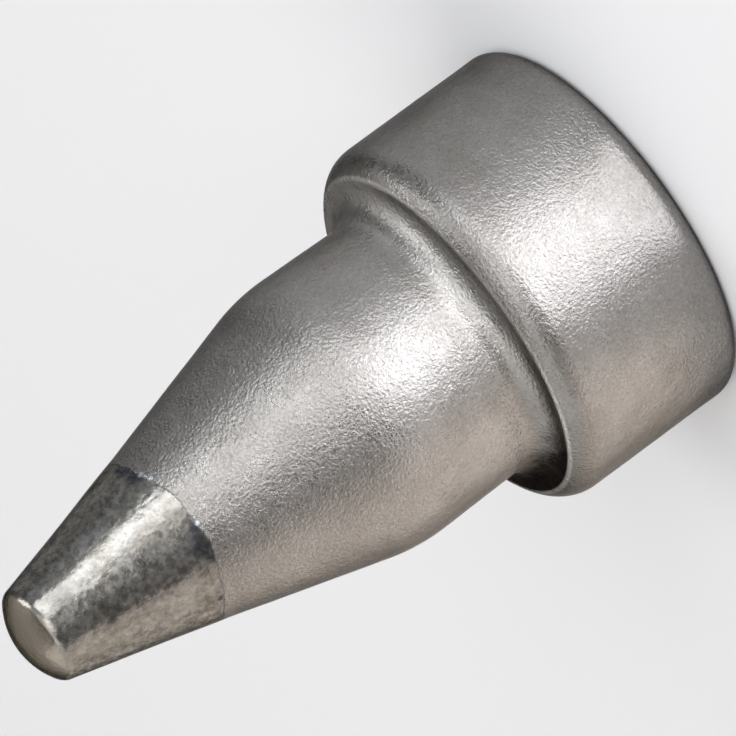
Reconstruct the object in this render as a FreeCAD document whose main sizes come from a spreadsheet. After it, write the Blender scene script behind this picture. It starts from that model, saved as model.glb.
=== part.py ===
"""Desoldering tip: one turned nozzle, plated behind and tinned over its closed nose.

The nozzle stands on the flat back of its collar. Its axis is +Z and its nose points up.
Every length is in millimetres and every angle in degrees.
"""
import FreeCAD
import Part
import os

import Sketcher

# The sizes that drive the model. A radius is measured from the axis, and the outside
# lengths follow each other up the nozzle from its back face.
SIZES = {
    # Collar: the wide back end, with a crease where its rounded edge meets its front face.
    "collar_radius": 5.0,
    "collar_length": 5.06,
    "collar_edge_round": 0.9,
    "crease_angle": 30.0,
    "back_edge_round": 0.42,
    # Neck: a wall round the socket, which swells slightly from the collar to the knee.
    "neck_wall": 1.11,
    "neck_swell": 0.08,
    "neck_length": 3.64,
    "neck_foot_round": 0.7,
    # Cone: plated, from the knee to the line where the tinning begins.
    "knee_round": 4.9,
    "cone_length": 4.92,
    "tinning_radius": 2.335,
    # Nose: tinned, from that line to the rim, with a dome of solder over its end.
    "nose_length": 4.14,
    "rim_radius": 1.27,
    "rim_round": 0.34,
    "dome_height": 0.47,
    # Inside: the heater's socket, the passage ahead of it and the narrow suction bore.
    "socket_radius": 2.5,
    "socket_depth": 8.0,
    "socket_chamfer": 0.3,
    "passage_radius": 1.0,
    "bore_radius": 0.5,
    "bore_length": 5.0,
    "drill_half_angle": 59.0,
    # The solder that closes the mouth reaches this far in from the top of the dome.
    "mouth_solder": 1.2,
}

# Heights above the back face.
AXIS = "0"
BACK = "0"
FACE = "sizes.collar_length"
KNEE = FACE + " + sizes.neck_length"
TINNING_LINE = KNEE + " + sizes.cone_length"
RIM = TINNING_LINE + " + sizes.nose_length"
TIP = RIM + " + sizes.dome_height"
BORE_END = TIP + " - sizes.mouth_solder"
BORE_START = BORE_END + " - sizes.bore_length"

# A drill leaves a cone where a wide hole meets a narrow one.
SOCKET_END = "sizes.socket_depth"
PASSAGE_START = SOCKET_END + (
    " + (sizes.socket_radius - sizes.passage_radius) / tan(sizes.drill_half_angle)"
)
PASSAGE_END = BORE_START + (
    " - (sizes.passage_radius - sizes.bore_radius) / tan(sizes.drill_half_angle)"
)

# The collar's rounded edge leaves its side smoothly and meets its face at the crease.
EDGE_CENTRE = "sizes.collar_radius - sizes.collar_edge_round"
EDGE_START = FACE + " - sizes.collar_edge_round * cos(sizes.crease_angle)"
CREASE = EDGE_CENTRE + " + sizes.collar_edge_round * sin(sizes.crease_angle)"

# The seat is the flat ring of the collar's face between the neck and the crease, and the
# fillet at the neck's foot takes up no more than this share of it.
NECK = "sizes.socket_radius + sizes.neck_wall"
FILLET_SHARE = 0.8
NECK_FILLET = f"min(sizes.neck_foot_round; {FILLET_SHARE} * ({CREASE} - ({NECK})))"

# Corners of the outside, each a radius and a height. A third value bends the stretch that
# leaves the corner into an arc, and is the radius at which the arc's centre lies.
BACK_EDGE = ("sizes.collar_radius", BACK)
NECK_FOOT = (NECK, FACE)
KNEE_CORNER = (NECK + " + sizes.neck_swell", KNEE)
RIM_CORNER = ("sizes.rim_radius", RIM, AXIS)
OUTSIDE = [
    (AXIS, BACK),
    BACK_EDGE,
    ("sizes.collar_radius", EDGE_START, EDGE_CENTRE),
    (CREASE, FACE),
    NECK_FOOT,
    KNEE_CORNER,
    ("sizes.tinning_radius", TINNING_LINE),
    RIM_CORNER,
    (AXIS, TIP),
]

# Corners of the hollow, from the socket's mouth to the blind end of the suction bore.
SOCKET_MOUTH = ("sizes.socket_radius", BACK)
INSIDE = [
    (AXIS, BACK),
    SOCKET_MOUTH,
    ("sizes.socket_radius", SOCKET_END),
    ("sizes.passage_radius", PASSAGE_START),
    ("sizes.passage_radius", PASSAGE_END),
    ("sizes.bore_radius", BORE_START),
    ("sizes.bore_radius", BORE_END),
    (AXIS, BORE_END),
]

# How a sketch numbers its own origin and the points of a stretch.
SKETCH_ORIGIN = (-1, 1)
START, END, CENTRE = 1, 2, 3

FULL_TURN = 360.0
SAME_PLACE = 1e-4


def add_sheet(doc):
    """Write each driving size into a cell that bears its name."""
    sheet = doc.addObject("Spreadsheet::Sheet", "sizes")
    for row, (name, value) in enumerate(SIZES.items(), start=1):
        sheet.set(f"A{row}", name)
        sheet.set(f"B{row}", str(value))
        sheet.setAlias(f"B{row}", name)
    doc.recompute()
    return sheet


def place(sheet, corner):
    """Where a corner lies in the half section: across is radius, up is height."""
    return FreeCAD.Vector(sheet.evalExpression(corner[0]), sheet.evalExpression(corner[1]), 0)


def arc_through(start, end, centre_radius):
    """The arc, turning anticlockwise, that joins two points about a centre at a given radius."""
    reach = (start.x - centre_radius) ** 2 - (end.x - centre_radius) ** 2
    height = (reach + start.y ** 2 - end.y ** 2) / (2 * (start.y - end.y))
    centre = FreeCAD.Vector(centre_radius, height, 0)
    circle = Part.Circle(centre, FreeCAD.Vector(0, 0, 1), start.distanceToPoint(centre))
    return Part.ArcOfCircle(circle, circle.parameter(start), circle.parameter(end))


def hold(sketch, stretch, point, radius=None, height=None):
    """Tie one point of a stretch to a radius, a height or both."""
    for direction, size in (("DistanceX", radius), ("DistanceY", height)):
        if size is not None:
            rule = Sketcher.Constraint(direction, *SKETCH_ORIGIN, stretch, point, 1.0)
            number = sketch.addConstraint(rule)
            sketch.setExpression(f"Constraints[{number}]", size)


def half_section(body, sheet, name, corners):
    """Draw a closed outline on the plane through the axis and tie every corner to the sheet."""
    plane = next(item for item in body.Origin.OriginFeatures if item.Role == "XZ_Plane")
    sketch = body.newObject("Sketcher::SketchObject", name)
    sketch.AttachmentSupport = (plane, [""])
    sketch.MapMode = "FlatFace"
    for corner, following in zip(corners, corners[1:] + corners[:1]):
        start, end = place(sheet, corner), place(sheet, following)
        if len(corner) == 3:
            curve = arc_through(start, end, sheet.evalExpression(corner[2]))
        else:
            curve = Part.LineSegment(start, end)
        sketch.addGeometry(curve, False)
    for stretch, corner in enumerate(corners):
        following = (stretch + 1) % len(corners)
        sketch.addConstraint(Sketcher.Constraint("Coincident", stretch, END, following, START))
        hold(sketch, stretch, START, radius=corner[0], height=corner[1])
        if len(corner) == 3:
            hold(sketch, stretch, CENTRE, radius=corner[2])
    return sketch


def turn(body, kind, name, sketch):
    """Turn a half section about the axis, to add material or to cut it away."""
    feature = body.newObject(kind, name)
    feature.Profile = sketch
    feature.ReferenceAxis = (sketch, ["V_Axis"])
    feature.Angle = FULL_TURN
    sketch.Visibility = False
    return feature


def ring_at(sheet, feature, corner):
    """Name the ring-shaped edge of a turned solid that a corner of its outline made."""
    spot = place(sheet, corner)
    for number, edge in enumerate(feature.Shape.Edges, start=1):
        if not edge.Degenerated and isinstance(edge.Curve, Part.Circle):
            ring = edge.Curve
            apart = abs(ring.Radius - spot.x) + abs(ring.Center.z - spot.y)
            if apart < SAME_PLACE:
                return f"Edge{number}"
    raise ValueError(f"no ring at radius {spot.x} and height {spot.y} on {feature.Name}")


def dress(body, sheet, kind, name, corner, attribute, size):
    """Round or chamfer the ring that a corner made, by a size from the sheet."""
    body.Document.recompute()
    base = body.Tip
    feature = body.newObject(kind, name)
    feature.Base = (base, [ring_at(sheet, base, corner)])
    feature.setExpression(attribute, size)
    return feature


def add_nozzle(doc, sheet):
    """The whole nozzle: turned outside, bored from the back, then its edges are finished."""
    body = doc.addObject("PartDesign::Body", "desoldering_nozzle")
    body.Label = "desoldering_nozzle"
    outside = half_section(body, sheet, "outside", OUTSIDE)
    turn(body, "PartDesign::Revolution", "turned_outside", outside)
    doc.recompute()
    inside = half_section(body, sheet, "inside", INSIDE)
    turn(body, "PartDesign::Groove", "bored_inside", inside)
    rounds = [
        ("knee_blend", KNEE_CORNER, "sizes.knee_round"),
        ("neck_foot_fillet", NECK_FOOT, NECK_FILLET),
        ("rim_blend", RIM_CORNER, "sizes.rim_round"),
        ("back_edge_fillet", BACK_EDGE, "sizes.back_edge_round"),
    ]
    for name, corner, size in rounds:
        dress(body, sheet, "PartDesign::Fillet", name, corner, "Radius", size)
    lead_in = "sizes.socket_chamfer"
    dress(body, sheet, "PartDesign::Chamfer", "socket_lead_in", SOCKET_MOUTH, "Size", lead_in)
    return body


def check(doc, bodies):
    """Stop if any object failed, or if a piece is not one whole solid."""
    doc.recompute()
    for item in doc.Objects:
        if "Invalid" in item.State or "Error" in item.State:
            raise RuntimeError(f"{item.Name} failed: {item.State}")
    for body in bodies:
        shape = body.Shape
        if shape.isNull() or not shape.isValid() or len(shape.Solids) != 1:
            raise RuntimeError(f"{body.Label} is not one valid solid")


def main():
    doc = FreeCAD.newDocument("desoldering_tip")
    sheet = add_sheet(doc)
    bodies = [add_nozzle(doc, sheet)]
    check(doc, bodies)
    os.makedirs("parts", exist_ok=True)
    for body in bodies:
        body.Shape.exportStep(f"parts/{body.Label}.step")
        box = body.Shape.optimalBoundingBox(False)
        print(f"{body.Label}: {body.Shape.Volume:.2f} mm3")
        print(f"  {box.XLength:.3f} x {box.YLength:.3f} x {box.ZLength:.3f} mm, from z {box.ZMin:.3f}")


main()
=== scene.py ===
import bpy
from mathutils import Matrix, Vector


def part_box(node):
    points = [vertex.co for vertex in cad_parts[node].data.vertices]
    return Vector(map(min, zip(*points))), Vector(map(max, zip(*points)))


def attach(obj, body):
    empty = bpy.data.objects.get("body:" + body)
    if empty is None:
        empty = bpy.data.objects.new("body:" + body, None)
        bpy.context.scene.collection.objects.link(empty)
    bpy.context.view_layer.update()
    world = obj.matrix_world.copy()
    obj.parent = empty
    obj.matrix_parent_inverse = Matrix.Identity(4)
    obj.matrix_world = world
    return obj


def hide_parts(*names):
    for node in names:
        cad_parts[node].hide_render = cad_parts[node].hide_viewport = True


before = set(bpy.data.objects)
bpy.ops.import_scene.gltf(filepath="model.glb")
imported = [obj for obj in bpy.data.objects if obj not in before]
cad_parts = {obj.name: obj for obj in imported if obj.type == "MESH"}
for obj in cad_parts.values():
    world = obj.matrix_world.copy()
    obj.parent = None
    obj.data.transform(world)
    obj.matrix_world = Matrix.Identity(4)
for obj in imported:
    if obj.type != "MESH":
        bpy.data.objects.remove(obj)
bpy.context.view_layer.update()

import math

import bpy
from mathutils import Matrix, Vector, noise

NODE = "desoldering_nozzle"
MM = 0.001

# The frame gives the collar's radius and the height of the dome's top, in millimetres.
low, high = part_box(NODE)
COLLAR_RADIUS = (high.x - low.x) / 2 / MM
TIP_HEIGHT = high.z / MM

# Heights above the back face and radii from the axis, in millimetres.
FACE_HEIGHT = 5.06
KNEE_HEIGHT = 8.70
TINNING_HEIGHT = 13.62
RIM_HEIGHT = 17.76
NECK_RADIUS = 3.61
KNEE_RADIUS = 3.69
TINNING_RADIUS = 2.335
RIM_RADIUS = 1.27

# Rounded edges.
COLLAR_EDGE_ROUND = 0.9
CREASE_ANGLE = math.radians(30)
BACK_EDGE_ROUND = 0.42
CREASE_RADIUS = COLLAR_RADIUS - COLLAR_EDGE_ROUND * (1 - math.sin(CREASE_ANGLE))
NECK_FOOT_ROUND = 0.7
KNEE_ROUND = 4.9
RIM_ROUND = 0.34

# The hollow, bored from the back.
SOCKET_RADIUS = 2.5
SOCKET_DEPTH = 8.0
SOCKET_CHAMFER = 0.3
PASSAGE_RADIUS = 1.0
BORE_RADIUS = 0.5
BORE_LENGTH = 5.0
DRILL_HALF_ANGLE = math.radians(59)
MOUTH_SOLDER = 1.2

# The mesh: stretches around the axis, and the longest steps along the outline.
STRETCHES = 320
BODY_STEP = 0.16
NOSE_STEP = 0.07
FINE_BELOW_LINE = 0.3
HOLLOW_STEP = 1.2
ARC_STEP = math.radians(6)
ARC_CHORD = 0.08
CAP_GAP = 0.02
ON_AXIS = 1e-6

# The surface's waves: the height at which they start, how far they pass over into each other
# at the tinning line, how far below the dome's top they die out, and their sizes.
WAVES_FROM = 0.6
LINE_BLEND = 0.25
TIP_CALM = 0.5
SOLDER_SWELL = 0.014
SOLDER_RIPPLE = 0.006
BODY_UNEVEN = 0.004


def point(radius, height):
    """A place in the half section."""
    return Vector((radius, height))


def fillet(before, corner, after, size):
    """The points of an arc of a given radius that rounds a corner of an outline."""
    back = (before - corner).normalized()
    ahead = (after - corner).normalized()
    half = back.angle(ahead) / 2
    reach = size / math.tan(half)
    centre = corner + (back + ahead).normalized() * (size / math.sin(half))
    start = corner + back * reach
    end = corner + ahead * reach
    return arc(centre, start, end)


def arc(centre, start, end):
    """Points along the shorter arc about a centre from one point to another."""
    first = math.atan2(start.y - centre.y, start.x - centre.x)
    turn = math.atan2(end.y - centre.y, end.x - centre.x) - first
    turn = (turn + math.pi) % (2 * math.pi) - math.pi
    size = (start - centre).length
    steps = max(3, math.ceil(abs(turn) / min(ARC_STEP, ARC_CHORD / size)))
    angles = [first + turn * step / steps for step in range(steps + 1)]
    return [centre + size * point(math.cos(angle), math.sin(angle)) for angle in angles]


def outline():
    """The hollow from the blind end of the bore, and the outside from there to the dome's top."""
    bore_end = TIP_HEIGHT - MOUTH_SOLDER
    bore_start = bore_end - BORE_LENGTH
    passage_end = bore_start - (PASSAGE_RADIUS - BORE_RADIUS) / math.tan(DRILL_HALF_ANGLE)
    passage_start = SOCKET_DEPTH + (SOCKET_RADIUS - PASSAGE_RADIUS) / math.tan(DRILL_HALF_ANGLE)
    hollow = [
        point(0, bore_end),
        point(BORE_RADIUS, bore_end),
        point(BORE_RADIUS, bore_start),
        point(PASSAGE_RADIUS, passage_end),
        point(PASSAGE_RADIUS, passage_start),
        point(SOCKET_RADIUS, SOCKET_DEPTH),
        point(SOCKET_RADIUS, SOCKET_CHAMFER),
        point(SOCKET_RADIUS + SOCKET_CHAMFER, 0),
    ]
    edge_centre = point(
        COLLAR_RADIUS - COLLAR_EDGE_ROUND, FACE_HEIGHT - COLLAR_EDGE_ROUND * math.cos(CREASE_ANGLE)
    )
    crease = point(edge_centre.x + COLLAR_EDGE_ROUND * math.sin(CREASE_ANGLE), FACE_HEIGHT)
    back_edge = point(COLLAR_RADIUS, 0)
    side_top = point(COLLAR_RADIUS, edge_centre.y)
    foot = point(NECK_RADIUS, FACE_HEIGHT)
    knee = point(KNEE_RADIUS, KNEE_HEIGHT)
    tinning = point(TINNING_RADIUS, TINNING_HEIGHT)
    rim = point(RIM_RADIUS, RIM_HEIGHT)
    dome = TIP_HEIGHT - RIM_HEIGHT
    dome_radius = (RIM_RADIUS ** 2 + dome ** 2) / (2 * dome)
    dome_centre = point(0, TIP_HEIGHT - dome_radius)
    cap = arc(dome_centre, rim, point(0, TIP_HEIGHT))
    rim_blend = fillet(tinning, rim, cap[1], RIM_ROUND)
    cap = [spot for spot in cap if spot.x < rim_blend[-1].x - CAP_GAP]
    # The last point is the pole, which lies exactly on the axis.
    cap[-1].x = 0
    outside = (
        fillet(hollow[-1], back_edge, side_top, BACK_EDGE_ROUND)
        + arc(edge_centre, side_top, crease)
        + fillet(crease, foot, knee, NECK_FOOT_ROUND)
        + fillet(foot, knee, tinning, KNEE_ROUND)
        + [tinning]
        + rim_blend
        + cap
    )
    return hollow, outside


def divided(points, steps):
    """The points with more between them, so that no stretch is longer than its step allows."""
    result = [points[0]]
    for start, end in zip(points, points[1:]):
        count = max(1, math.ceil((end - start).length / steps(end)))
        result += [start.lerp(end, step / count) for step in range(1, count + 1)]
    return result


def hollow_step(spot):
    return HOLLOW_STEP


def outside_step(spot):
    """The mesh is finer on the tinned nose."""
    return NOSE_STEP if spot.y > TINNING_HEIGHT - FINE_BELOW_LINE else BODY_STEP


def solder_wave(spot):
    """How far the dipped solder stands out at a place on the nose, in millimetres."""
    swell = noise.noise(Vector((spot.x * 0.55, spot.y * 0.55, spot.z * 0.30)) + Vector((3.1, 0, 7.7)))
    ripple = noise.noise(Vector((spot.x * 1.7, spot.y * 1.7, spot.z * 0.75)) + Vector((9.4, 2.2, 1.3)))
    return SOLDER_SWELL * swell + SOLDER_RIPPLE * ripple


def body_wave(spot):
    """The blasted surface's slight unevenness, in millimetres, all of it inwards."""
    return BODY_UNEVEN * (noise.noise(spot * 1.1 + Vector((5.0, 1.0, 2.0))) - 1)


def tinning_line(angle):
    """The height round the nose at which the solder's waves begin."""
    wander = noise.noise(Vector((math.cos(angle) * 1.6, math.sin(angle) * 1.6, 4.2)))
    return TINNING_HEIGHT + 0.10 * wander + 0.06 * abs(math.sin(angle))


def wavy_radius(spot, angle):
    """The radius of the outside at a point of its outline and an angle, with its waves."""
    if spot.y <= WAVES_FROM:
        return spot.x
    place = Vector((spot.x * math.cos(angle), spot.x * math.sin(angle), spot.y))
    tinned = min(1, max(0, (spot.y - tinning_line(angle)) / LINE_BLEND))
    near_tip = min(1, max(0, (TIP_HEIGHT - spot.y) / TIP_CALM))
    wave = body_wave(place) * (1 - tinned) + solder_wave(place) * tinned * near_tip
    return spot.x + wave


def turned_faces(rings):
    """Faces between each ring and the next, where a ring of one point is a pole."""
    faces = []
    for below, above in zip(rings, rings[1:]):
        for step in range(STRETCHES):
            after = (step + 1) % STRETCHES
            if len(below) == 1:
                faces.append((below[0], above[step], above[after]))
            elif len(above) == 1:
                faces.append((below[step], above[0], below[after]))
            else:
                faces.append((below[step], above[step], above[after], below[after]))
    return faces


def nozzle_mesh():
    """Turn the section about the axis, closed at both poles, with the waves on its outside."""
    hollow, outside = outline()
    inner = divided(hollow, hollow_step)
    outer = divided([hollow[-1]] + outside, outside_step)
    verts, rings = [], []
    for index, spot in enumerate(inner + outer[1:]):
        if spot.x < ON_AXIS:
            rings.append([len(verts)])
            verts.append((0, 0, spot.y * MM))
            continue
        rings.append(list(range(len(verts), len(verts) + STRETCHES)))
        for step in range(STRETCHES):
            angle = 2 * math.pi * step / STRETCHES
            radius = wavy_radius(spot, angle) if index >= len(inner) else spot.x
            verts.append((radius * math.cos(angle) * MM, radius * math.sin(angle) * MM, spot.y * MM))
    mesh = bpy.data.meshes.new("nozzle")
    mesh.from_pydata(verts, [], turned_faces(rings))
    mesh.flip_normals()
    mesh.shade_smooth()
    mesh.validate()
    return mesh


class Graph:
    """Adds nodes to a material and joins them, so that a finish reads from top to bottom."""

    def __init__(self, material):
        material.use_nodes = True
        self.nodes = material.node_tree.nodes
        self.links = material.node_tree.links

    def add(self, kind, inputs, **settings):
        node = self.nodes.new(kind)
        for name, value in settings.items():
            setattr(node, name, value)
        for name, value in inputs.items():
            self.feed(node.inputs[name], value)
        return node

    def feed(self, socket, value):
        if isinstance(value, bpy.types.NodeSocket):
            self.links.new(value, socket)
        else:
            socket.default_value = value

    def millimetres(self, stretch=(1, 1, 1)):
        """The place on the object, in millimetres, stretched along its axes for long marks."""
        spot = self.add("ShaderNodeTexCoord", {}).outputs["Object"]
        scale = tuple(share / MM for share in stretch)
        return self.add("ShaderNodeMapping", {"Vector": spot, "Scale": scale}).outputs["Vector"]

    def noise(self, place, per_mm, detail=2.0, rough=0.5, distortion=0.0):
        inputs = {
            "Vector": place, "Scale": per_mm, "Detail": detail, "Roughness": rough, "Distortion": distortion,
        }
        return self.add("ShaderNodeTexNoise", inputs).outputs["Fac"]

    def vary(self, place, per_mm, detail, rough, lowest, highest):
        """A noise whose common values fill the room between a lowest and a highest."""
        return self.between(self.noise(place, per_mm, detail, rough), 0.3, 0.7, lowest, highest)

    def vector(self, operation, inputs, output="Vector"):
        return self.add("ShaderNodeVectorMath", inputs, operation=operation).outputs[output]

    def number(self, operation, first, second=0.0):
        node = self.add("ShaderNodeMath", {}, operation=operation)
        self.feed(node.inputs[0], first)
        self.feed(node.inputs[1], second)
        return node.outputs[0]

    def between(self, value, low, high, to_low=0.0, to_high=1.0):
        """Carry a value from one range to another, and hold it at the ends."""
        inputs = {"Value": value, "From Min": low, "From Max": high, "To Min": to_low, "To Max": to_high}
        return self.add("ShaderNodeMapRange", inputs).outputs["Result"]

    def mix(self, share, first, second):
        """Blend two colours."""
        node = self.add("ShaderNodeMix", {}, data_type="RGBA")
        for socket, value in ((0, share), (6, first), (7, second)):
            self.feed(node.inputs[socket], value)
        return node.outputs[2]

    def blend(self, share, first, second):
        """Blend two numbers."""
        node = self.add("ShaderNodeMix", {}, data_type="FLOAT")
        for socket, value in ((0, share), (2, first), (3, second)):
            self.feed(node.inputs[socket], value)
        return node.outputs[0]

    def bump(self, height, depth_mm):
        inputs = {"Height": height, "Distance": depth_mm * MM, "Strength": 1.0}
        return self.add("ShaderNodeBump", inputs).outputs["Normal"]


# Reflectances of the metal at its parts, of what lies on it, and of painted shade, reflection and
# highlights.
PLATING = (0.300, 0.289, 0.278, 1)
PLATING_DULL = (0.246, 0.234, 0.221, 1)
# Painted reflection: a lighter colour over most of the groove at the neck's foot.
GROOVE_PAINTED_REFLECTION = (0.46, 0.448, 0.430, 1)
# Painted highlight: a thin bright line along the crease.
CREASE_PAINTED_HIGHLIGHT = (0.58, 0.566, 0.546, 1)
SOLDER = (0.278, 0.270, 0.256, 1)
SOLDER_DULL = (0.215, 0.204, 0.185, 1)
# Painted highlight: the bright glints on small beads along the tinning line.
SOLDER_PAINTED_GLINT = (0.56, 0.58, 0.62, 1)
# A darker colour for a patch close under the rim.
SOLDER_DARKER_PATCH = (0.120, 0.114, 0.102, 1)
SOLDER_FACE = (0.300, 0.268, 0.226, 1)
RESIDUE = (0.070, 0.074, 0.090, 1)
# Painted shade: near black, low in the groove on the left, where the neck shades the face.
GROOVE_PAINTED_SHADE = (0.045, 0.040, 0.037, 1)
EDGE_TINT = (0.20, 0.20, 0.20, 1)

# Patches of residue that the dip left: azimuth in degrees from the front, height above the
# tinning line, and reach, the last two in millimetres.
RESIDUE_PATCHES = (
    (64, 0.36, 0.14), (57, 0.34, 0.20), (50, 0.32, 0.20), (43, 0.28, 0.15), (-4, 0.12, 0.14),
    (-9, 0.20, 0.19), (-14, 0.24, 0.21), (-19, 0.22, 0.17), (-24, 0.16, 0.11), (-55, 0.32, 0.07),
)

# Small beads on the line, painted bright as glints (painted highlights), given in the same way.
PAINTED_GLINTS = (
    (46, 0.17, 0.06), (42, 0.14, 0.06), (38, 0.10, 0.04), (-2, -0.03, 0.06), (2, -0.03, 0.04),
)

# A darker patch close under the rim, where it dims the highlight streak, given in the same way, and its
# strength.
DARKER_PATCH = (15, 3.5, 0.42)
DARKER_PATCH_SHARE = 0.6

# How dark the residue is at its darkest and in the line itself.
RESIDUE_SHARE = 0.85
LINE_SHARE = 0.55

# Depths of the relief in millimetres.
PLATING_UNEVEN = 0.020
PLATING_GRAIN = 0.023
SOLDER_WAVES = 0.026
SOLDER_RIPPLES = 0.007


def patch_mask(graph, place, rough_edge, azimuth, height, reach):
    """A soft spot on the nose, at a height above the tinning line."""
    turn = math.radians(azimuth)
    taper = (TINNING_RADIUS - RIM_RADIUS) / (RIM_HEIGHT - TINNING_HEIGHT)
    radius = TINNING_RADIUS - height * taper
    centre = (radius * math.sin(turn), -radius * math.cos(turn), TINNING_HEIGHT + height)
    away = graph.vector("DISTANCE", {0: place, 1: centre}, "Value")
    return graph.between(graph.number("ADD", away, rough_edge), reach * 0.4, reach * 1.4, 1.0, 0.0)


def above_dipped_edge(graph, place, parts):
    """Height above the dipped edge, which is higher at the sides, wanders and breaks up finely."""
    sag = graph.between(graph.number("ABSOLUTE", parts["X"]), 0.6, 2.1, 0.0, 0.24)
    around = graph.millimetres(stretch=(1, 1, 0))
    wander = graph.vary(around, 0.9, 2.0, 0.5, -0.05, 0.05)
    ragged = graph.vary(place, 5.0, 3.0, 0.6, -0.03, 0.03)
    edge = graph.number("ADD", sag, graph.number("ADD", wander, ragged))
    return graph.number("SUBTRACT", graph.number("SUBTRACT", parts["Z"], TINNING_HEIGHT), edge)


def marked_groove(graph, place, parts, plating):
    """The groove at the neck's foot: a painted reflection (lighter colour) over most of it, painted shade
    low on the left, and a painted highlight along the crease.
    """
    radius = graph.vector("LENGTH", {0: graph.vector("MULTIPLY", {0: place, 1: (1, 1, 0)})}, "Value")
    inside = graph.between(radius, CREASE_RADIUS - 0.02, CREASE_RADIUS + 0.02, 1.0, 0.0)
    smudge = graph.vary(place, 2.0, 3.0, 0.6, -0.15, 0.15)
    height = graph.number("ADD", parts["Z"], smudge)
    low = graph.between(height, FACE_HEIGHT + 0.05, FACE_HEIGHT + 0.95, 1.0, 0.0)
    groove = graph.number("MULTIPLY", inside, low)
    across = graph.number("ADD", parts["X"], smudge)
    # Painted reflection: the groove is painted lighter, except on the left.
    painted_reflection = graph.number("MULTIPLY", groove, graph.between(across, -2.6, -0.8))
    # Painted shade low in the groove on the left (-X) side.
    painted_shade = graph.number("MULTIPLY", groove, graph.between(across, -3.9, -3.1, 0.95, 0.0))
    # Painted highlight: a thin bright line along the crease, on the groove's low part.
    from_crease = graph.number("ABSOLUTE", graph.number("SUBTRACT", radius, CREASE_RADIUS))
    crease = graph.number("MULTIPLY", graph.between(from_crease, 0.03, 0.08, 1.0, 0.0), low)
    plating = graph.mix(painted_reflection, plating, GROOVE_PAINTED_REFLECTION)
    plating = graph.mix(painted_shade, plating, GROOVE_PAINTED_SHADE)
    return graph.mix(crease, plating, CREASE_PAINTED_HIGHLIGHT)


def blasted_plating(graph, place, parts):
    """Colour, roughness and relief of the plating: fine dimples over a faint unevenness."""
    clouds = graph.noise(place, 0.7, 3.0, 0.55)
    plating = graph.mix(graph.between(clouds, 0.35, 0.7), PLATING, PLATING_DULL)
    speckle = graph.vary(place, 13.0, 2.0, 0.7, 0.85, 1.15)
    plating = graph.vector("SCALE", {0: plating, "Scale": speckle})
    colour = marked_groove(graph, place, parts, plating)
    rough = graph.vary(place, 2.2, 3.0, 0.6, 0.24, 0.33)
    dimples = graph.add("ShaderNodeTexVoronoi", {"Vector": place, "Scale": 11.0}).outputs["Distance"]
    grain = graph.noise(place, 14.0, 2.0, 0.7)
    blasted = graph.number("ADD", graph.number("MULTIPLY", dimples, 0.3), grain)
    uneven = graph.number("MULTIPLY", graph.noise(place, 1.6, 2.0, 0.5), PLATING_UNEVEN)
    relief = graph.number("ADD", uneven, graph.number("MULTIPLY", blasted, PLATING_GRAIN))
    return colour, rough, relief


def dipped_solder(graph, place, parts, rough_edge):
    """Colour, roughness and relief of the solder: low waves drawn along the nose, and mottled."""
    drawn = graph.millimetres(stretch=(1, 1, 0.6))
    streaks = graph.noise(drawn, 1.6, 3.0, 0.6, 0.3)
    solder = graph.mix(graph.between(streaks, 0.38, 0.68), SOLDER, SOLDER_DULL)
    mottle = graph.between(graph.noise(place, 6.0, 3.0, 0.6), 0.32, 0.68, 0.68, 1.28)
    solder = graph.vector("SCALE", {0: solder, "Scale": mottle})
    # A darker patch close under the rim, which dims the highlight streak there.
    darker_patch = patch_mask(graph, place, rough_edge, *DARKER_PATCH)
    solder = graph.mix(graph.number("MULTIPLY", darker_patch, DARKER_PATCH_SHARE), solder, SOLDER_DARKER_PATCH)
    face = graph.between(parts["Z"], RIM_HEIGHT - 0.12, RIM_HEIGHT + 0.16)
    colour = graph.mix(face, solder, SOLDER_FACE)
    rough = graph.vary(place, 3.0, 3.0, 0.6, 0.22, 0.32)
    waves = graph.number("MULTIPLY", graph.noise(drawn, 2.2, 2.0, 0.5), SOLDER_WAVES)
    ripples = graph.number("MULTIPLY", graph.noise(place, 7.5, 2.0, 0.6), SOLDER_RIPPLES)
    return colour, rough, graph.number("ADD", waves, ripples)


def residue_mask(graph, place, rough_edge, above, tinned):
    """Dark residue lies in a few patches along the line, and thinly in the line itself."""
    residue = graph.between(graph.number("ABSOLUTE", above), 0.008, 0.026, LINE_SHARE, 0.0)
    for patch in RESIDUE_PATCHES:
        mask = graph.number("MULTIPLY", patch_mask(graph, place, rough_edge, *patch), tinned)
        residue = graph.number("MAXIMUM", residue, mask)
    return graph.number("MULTIPLY", residue, RESIDUE_SHARE)


# Painted glints: small beads on the line, painted bright as highlights.
def painted_glint_mask(graph, place, rough_edge):
    bright = 0.0
    for patch in PAINTED_GLINTS:
        bright = graph.number("MAXIMUM", bright, patch_mask(graph, place, rough_edge, *patch))
    return bright


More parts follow.
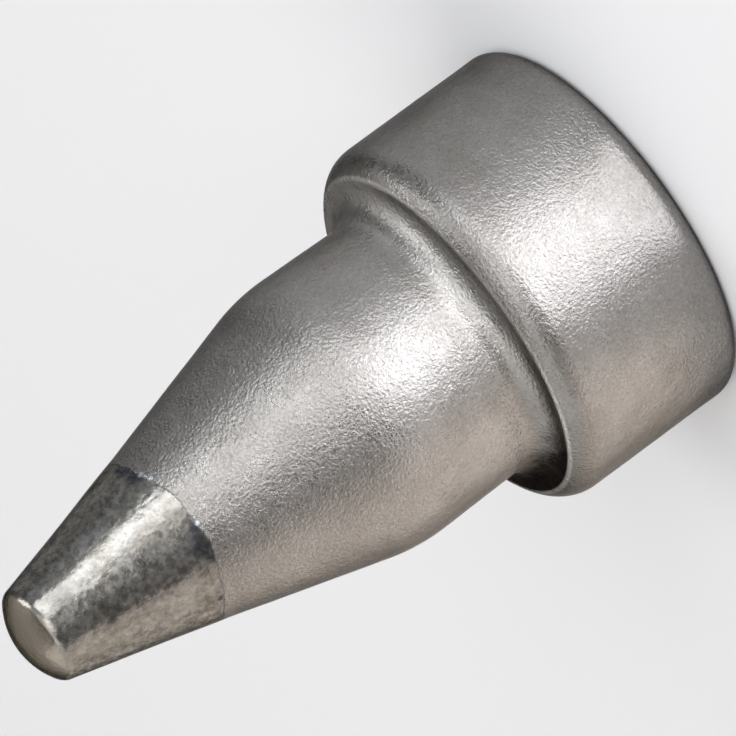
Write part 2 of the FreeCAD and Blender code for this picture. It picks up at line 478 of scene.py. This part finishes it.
def metal_material():
    """Blasted plating on the body and dipped solder on the nose, with residue where they meet."""
    material = bpy.data.materials.new("plated_metal")
    graph = Graph(material)
    place = graph.millimetres()
    parts = graph.add("ShaderNodeSeparateXYZ", {"Vector": place}).outputs
    rough_edge = graph.vary(place, 3.2, 3.0, 0.6, -0.06, 0.06)
    above = above_dipped_edge(graph, place, parts)
    tinned = graph.between(above, -0.012, 0.012)
    plating, plating_rough, plating_relief = blasted_plating(graph, place, parts)
    solder, solder_rough, solder_relief = dipped_solder(graph, place, parts, rough_edge)

    colour = graph.mix(tinned, plating, solder)
    colour = graph.mix(residue_mask(graph, place, rough_edge, above, tinned), colour, RESIDUE)
    # Painted highlights: glints painted on small beads along the line.
    colour = graph.mix(painted_glint_mask(graph, place, rough_edge), colour, SOLDER_PAINTED_GLINT)
    shader = graph.nodes["Principled BSDF"]
    shader.inputs["Metallic"].default_value = 1.0
    shader.inputs["Specular Tint"].default_value = EDGE_TINT
    graph.feed(shader.inputs["Base Color"], colour)
    graph.feed(shader.inputs["Roughness"], graph.blend(tinned, plating_rough, solder_rough))
    graph.feed(shader.inputs["Normal"], graph.bump(graph.blend(tinned, plating_relief, solder_relief), 1.0))
    return material


def place_piece():
    nozzle = bpy.data.objects.new("turned_nozzle", nozzle_mesh())
    bpy.context.scene.collection.objects.link(nozzle)
    nozzle.data.materials.append(metal_material())
    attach(nozzle, "root")
    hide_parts(NODE)


# The photograph's camera: the nose points down to the left and towards the camera.
AXIS_TURN = math.radians(36.234)
AXIS_TILT = math.radians(18.498)
IMAGE_SIDE = 736
SENSOR_SIDE = 36.0
PIXELS_PER_RADIUS = 209.242
CAMERA_RADII = 200 / 3
AXIS_POINT_FROM_RIM = 2.0
AXIS_POINT_PIXEL = (359.361, 399.645)


def image_axes():
    """The image's right and up, and the way back to the camera, as directions in the frame."""
    level_right = Vector((1, 0, 0))
    level_up = Vector((0, math.sin(AXIS_TILT), math.cos(AXIS_TILT)))
    back = Vector((0, -math.cos(AXIS_TILT), math.sin(AXIS_TILT)))
    right = -math.sin(AXIS_TURN) * level_right - math.cos(AXIS_TURN) * level_up
    up = math.cos(AXIS_TURN) * level_right - math.sin(AXIS_TURN) * level_up
    return right, up, back


def place_camera():
    right, up, back = image_axes()
    radius = COLLAR_RADIUS * MM
    distance = CAMERA_RADII * radius
    across = (AXIS_POINT_PIXEL[0] - IMAGE_SIDE / 2) / PIXELS_PER_RADIUS * radius
    down = (AXIS_POINT_PIXEL[1] - IMAGE_SIDE / 2) / PIXELS_PER_RADIUS * radius
    target = Vector((0, 0, RIM_HEIGHT * MM - AXIS_POINT_FROM_RIM * radius))
    spot = target - right * across + up * down + back * distance
    data = bpy.data.cameras.new("camera")
    data.sensor_width = SENSOR_SIDE
    data.lens = PIXELS_PER_RADIUS * CAMERA_RADII * SENSOR_SIDE / IMAGE_SIDE
    data.clip_start = distance / 10
    data.clip_end = distance * 30
    camera = bpy.data.objects.new("camera", data)
    bpy.context.scene.collection.objects.link(camera)
    turn = Matrix((right, up, back)).transposed().to_4x4()
    camera.matrix_world = Matrix.Translation(spot) @ turn
    bpy.context.scene.camera = camera


def area_lamp(name, place, target, width, depth, radiance, colour):
    """A lamp that shines one way and whose face is as bright as this many times white."""
    data = bpy.data.lights.new(name, "AREA")
    data.shape = "RECTANGLE"
    data.size = width * MM
    data.size_y = depth * MM
    data.energy = radiance * math.pi * width * depth * MM * MM
    data.color = colour
    lamp = bpy.data.objects.new(name, data)
    bpy.context.scene.collection.objects.link(lamp)
    lamp.location = Vector(place) * MM
    aim = Vector(target) - Vector(place)
    lamp.rotation_mode = "QUATERNION"
    lamp.rotation_quaternion = aim.to_track_quat("-Z", "Y")
    lamp.visible_camera = False


# Soft boxes round the nozzle: azimuth from the front and height above the horizon in degrees,
# the spread each way in degrees, the brightness and the colour.
LAMP_DISTANCE = 420
SOFT_BOXES = {
    "key": (27, 8, 18, 18, 4.0, (0.98, 0.99, 1)),
    "key_high": (44, 15, 18, 16, 5.6, (0.94, 0.97, 1)),
    "key_low": (46, 4, 16, 8, 3.3, (1, 1, 1)),
    "front_top": (6, 34, 34, 30, 3.0, (1, 1, 1)),
    "front_high": (0, 62, 60, 26, 1.15, (1, 1, 1)),
    "back": (180, 54, 90, 64, 0.42, (1, 0.97, 0.93)),
    "right_low": (75, 9, 26, 18, 0.33, (0.77, 0.91, 1)),
    "right_high": (92, 44, 32, 15, 4.6, (0.97, 0.98, 1)),
    "left_high": (-95, 42, 70, 56, 0.85, (1, 0.98, 0.95)),
    "left_low": (-106, 8, 104, 14, 1.15, (1, 0.86, 0.74)),
}

# A strip that lies in front of the nozzle and widens away from it, in stretches with a near
# end, a far end, a brightness and a shift to the right.
STRIP = (
    (5.2, 8, 2.1, 0), (8, 12, 3.7, 0), (12, 22, 4.5, 0.8), (22, 40, 3.8, 2.5), (40, 74, 5.0, 2),
)
STRIP_COLOUR = (0.95, 0.96, 1)
STRIP_WIDENING = 0.88
STRIP_APEX = 2.2

# Warm cards that lie to the left: how far away, how far back, the two sides, the brightness
# and the colour.
CARDS = (
    (11.5, 14, (9, 42), 0.85, (1, 0.82, 0.67)),
    (38, 16, (44, 88), 0.95, (1, 0.84, 0.70)),
    (95, 25, (60, 140), 2.0, (1, 0.86, 0.74)),
)


# The strip and the cards face up, this high above the floor.
LYING_HEIGHT = 0.3

FLOOR_SIDE = 6.0
FLOOR_COLOUR = (0.87, 0.88, 0.90, 1)
FLOOR_ROUGHNESS = 0.9
WORLD_COLOUR = (1, 0.98, 0.98, 1)
WORLD_STRENGTH = 0.17


def soft_box(name, azimuth, rise, across, tall, radiance, colour):
    turn, lift = math.radians(azimuth), math.radians(rise)
    way = Vector((math.sin(turn) * math.cos(lift), -math.cos(turn) * math.cos(lift), math.sin(lift)))
    target = Vector((0, 0, TIP_HEIGHT / 2))
    width = 2 * LAMP_DISTANCE * math.tan(math.radians(across / 2))
    depth = 2 * LAMP_DISTANCE * math.tan(math.radians(tall / 2))
    area_lamp(name, target + way * LAMP_DISTANCE, target, width, depth, radiance, colour)


def lying_lamp(name, right, back, width, depth, radiance, colour):
    place = Vector((right, back, LYING_HEIGHT))
    area_lamp(name, place, place + Vector((0, 0, 1)), width, depth, radiance, colour)


def place_lamps():
    for name, box in SOFT_BOXES.items():
        soft_box(name, *box)
    for near, far, radiance, shift in STRIP:
        middle = (near + far) / 2
        width = STRIP_WIDENING * (middle - STRIP_APEX)
        lying_lamp("strip", shift, -middle, width, far - near, radiance, STRIP_COLOUR)
    for away, back, (width, depth), radiance, colour in CARDS:
        lying_lamp("card", -away, back, width, depth, radiance, colour)


def place_floor():
    mesh = bpy.data.meshes.new("floor")
    half = FLOOR_SIDE / 2
    corners = [(-half, -half, 0), (half, -half, 0), (half, half, 0), (-half, half, 0)]
    mesh.from_pydata(corners, [], [(0, 1, 2, 3)])
    floor = bpy.data.objects.new("floor", mesh)
    bpy.context.scene.collection.objects.link(floor)
    material = bpy.data.materials.new("floor")
    material.use_nodes = True
    shader = material.node_tree.nodes["Principled BSDF"]
    shader.inputs["Base Color"].default_value = FLOOR_COLOUR
    shader.inputs["Roughness"].default_value = FLOOR_ROUGHNESS
    mesh.materials.append(material)


def place_world():
    world = bpy.data.worlds.new("studio")
    world.use_nodes = True
    background = world.node_tree.nodes["Background"]
    background.inputs["Color"].default_value = WORLD_COLOUR
    background.inputs["Strength"].default_value = WORLD_STRENGTH
    bpy.context.scene.world = world


bpy.context.scene.view_settings.view_transform = "Standard"
place_piece()
place_camera()
place_lamps()
place_floor()
place_world()
